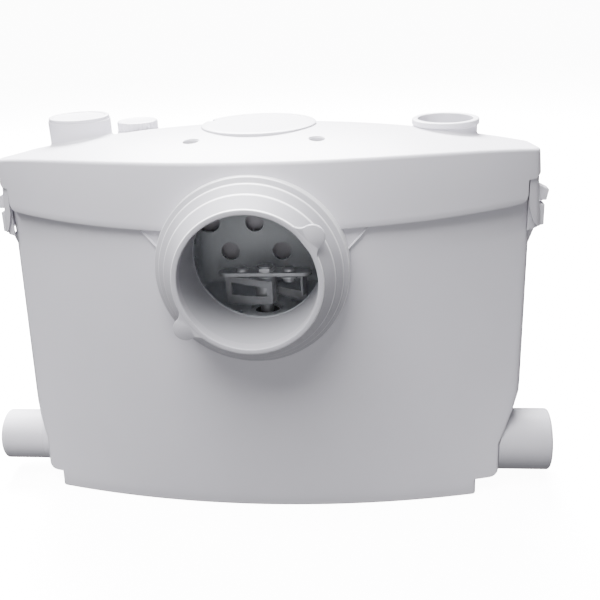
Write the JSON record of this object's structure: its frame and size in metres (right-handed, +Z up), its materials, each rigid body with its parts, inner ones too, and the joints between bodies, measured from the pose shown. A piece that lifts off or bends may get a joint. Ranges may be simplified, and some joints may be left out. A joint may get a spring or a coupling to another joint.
{
  "type": "sewage lifting station",
  "caption": "Compact macerator pump unit for behind a toilet: moulded tank and crowned lid, rubber toilet inlet, side and top waste inlets, cutter and basket inside.",
  "frame": {"origin": "on the floor under the middle of the lid's outline", "axes": "+X right seen from the toilet, +Y to the wall, +Z up"},
  "size_m": [0.439, 0.175, 0.2855],
  "materials": {
    "moulded_white": "fine moulded texture, off-white",
    "sleeve_rubber": "smooth light grey rubber",
    "seal_rubber": "matt black rubber",
    "filter_foam": "open charcoal foam",
    "inner_plastic": "moulded dark grey",
    "dark_plastic": "moulded black",
    "steel": "stainless, brushed",
    "core_steel": "stacked electrical sheet",
    "copper": "enamelled copper wire",
    "aluminium": "drawn can"
  },
  "bodies": {
    "housing": {"tank": "moulded_white", "lid": "moulded_white", "wc_sleeve": "sleeve_rubber", "right_inlet_sleeve": "sleeve_rubber", "lid_gasket": "seal_rubber", "upper_seal": "seal_rubber", "lower_seal": "seal_rubber", "diaphragm": "seal_rubber", "pump_feet": "seal_rubber", "vent_filter": "filter_foam", "basket": "inner_plastic", "volute": "inner_plastic", "suction_plate": "inner_plastic", "valve_body": "inner_plastic", "riser": "inner_plastic", "discharge_pipe": "inner_plastic", "pressure_tube": "inner_plastic", "switch_housing": "inner_plastic", "motor_base_plate": "inner_plastic", "motor_top_plate": "inner_plastic", "control_box": "inner_plastic", "control_box_cover": "inner_plastic", "micro_switch": "dark_plastic", "terminal_block": "dark_plastic", "cable_gland": "dark_plastic", "gland_nut": "dark_plastic", "motor_can": "steel", "lid_screws": "steel", "box_screws": "steel", "left_flap_pin": "steel", "right_flap_pin": "steel", "discharge_flap_pin": "steel", "switch_lever_pin": "steel", "upper_bearing": "steel", "lower_bearing": "steel", "stator_core": "core_steel", "upper_winding": "copper", "lower_winding": "copper", "capacitor": "aluminium"},
    "rotor": {"motor_shaft": "steel", "rotor_core": "core_steel", "impeller": "inner_plastic", "cutter_bar": "steel", "cutter_nut": "steel", "blade_pins": "steel"},
    "blade_a_body": {"blade_a": "steel"},
    "blade_b_body": {"blade_b": "steel"},
    "latch_left_body": {"latch_left": "moulded_white"},
    "latch_right_body": {"latch_right": "moulded_white"},
    "top_inlet_plug_body": {"top_inlet_plug": "moulded_white"},
    "discharge_cap_body": {"discharge_cap": "moulded_white"},
    "vent_cover_body": {"vent_cover": "moulded_white"},
    "discharge_flap_body": {"discharge_flap": "seal_rubber"},
    "left_flap_body": {"left_flap": "seal_rubber"},
    "right_flap_body": {"right_flap": "seal_rubber"},
    "switch_plunger_body": {"switch_plunger": "dark_plastic"},
    "switch_lever_body": {"switch_lever": "steel"}
  },
  "joints": [
    {"name": "rotor_spin", "type": "hinge", "parent": "housing", "child": "rotor", "pos_m": [0, -0.009, 0.12], "axis": [0, 0, 1], "continuous": true},
    {"name": "blade_a_swing", "type": "hinge", "parent": "rotor", "child": "blade_a_body", "pos_m": [-0.0175, -0.009, 0.171], "axis": [0, 0, 1], "range_deg": [-45, 8]},
    {"name": "blade_b_swing", "type": "hinge", "parent": "rotor", "child": "blade_b_body", "pos_m": [0.0175, -0.009, 0.171], "axis": [0, 0, 1], "range_deg": [-45, 8]},
    {"name": "latch_left_flex", "type": "hinge", "parent": "housing", "child": "latch_left_body", "pos_m": [-0.1961, 0.012, 0.2397], "axis": [0, 1, 0], "range_deg": [0, 35], "stiffness_Nm_per_rad": 1},
    {"name": "latch_right_flex", "type": "hinge", "parent": "housing", "child": "latch_right_body", "pos_m": [0.1961, 0.012, 0.2397], "axis": [0, -1, 0], "range_deg": [0, 35], "stiffness_Nm_per_rad": 1},
    {"name": "plug_lift", "type": "slide", "parent": "housing", "child": "top_inlet_plug_body", "axis": [0, 0, 1], "range_m": [0, 0.04]},
    {"name": "discharge_cap_lift", "type": "slide", "parent": "housing", "child": "discharge_cap_body", "axis": [0, 0, 1], "range_m": [0, 0.03]},
    {"name": "vent_cover_lift", "type": "slide", "parent": "housing", "child": "vent_cover_body", "axis": [0, 0, 1], "range_m": [0, 0.03]},
    {"name": "discharge_flap_swing", "type": "hinge", "parent": "housing", "child": "discharge_flap_body", "pos_m": [-0.0924, 0.0508, 0.1526], "axis": [0, 1, 0], "range_deg": [0, 50]},
    {"name": "left_flap_swing", "type": "hinge", "parent": "housing", "child": "left_flap_body", "pos_m": [-0.16145, -0.007, 0.054], "axis": [0, -1, 0], "range_deg": [0, 60]},
    {"name": "right_flap_swing", "type": "hinge", "parent": "housing", "child": "right_flap_body", "pos_m": [0.14845, -0.007, 0.054], "axis": [0, 1, 0], "range_deg": [0, 25]},
    {"name": "plunger_lift", "type": "slide", "parent": "housing", "child": "switch_plunger_body", "axis": [0, 0, 1], "range_m": [0, 0.0012]},
    {"name": "lever_swing", "type": "hinge", "parent": "housing", "child": "switch_lever_body", "pos_m": [0.1, -0.013, 0.1702], "axis": [0, -1, 0], "range_deg": [0, 7.64]}
  ],
  "couplings": [
    {"joint": "lever_swing", "follows": "plunger_lift", "rad_per_m": 111.1}
  ]
}
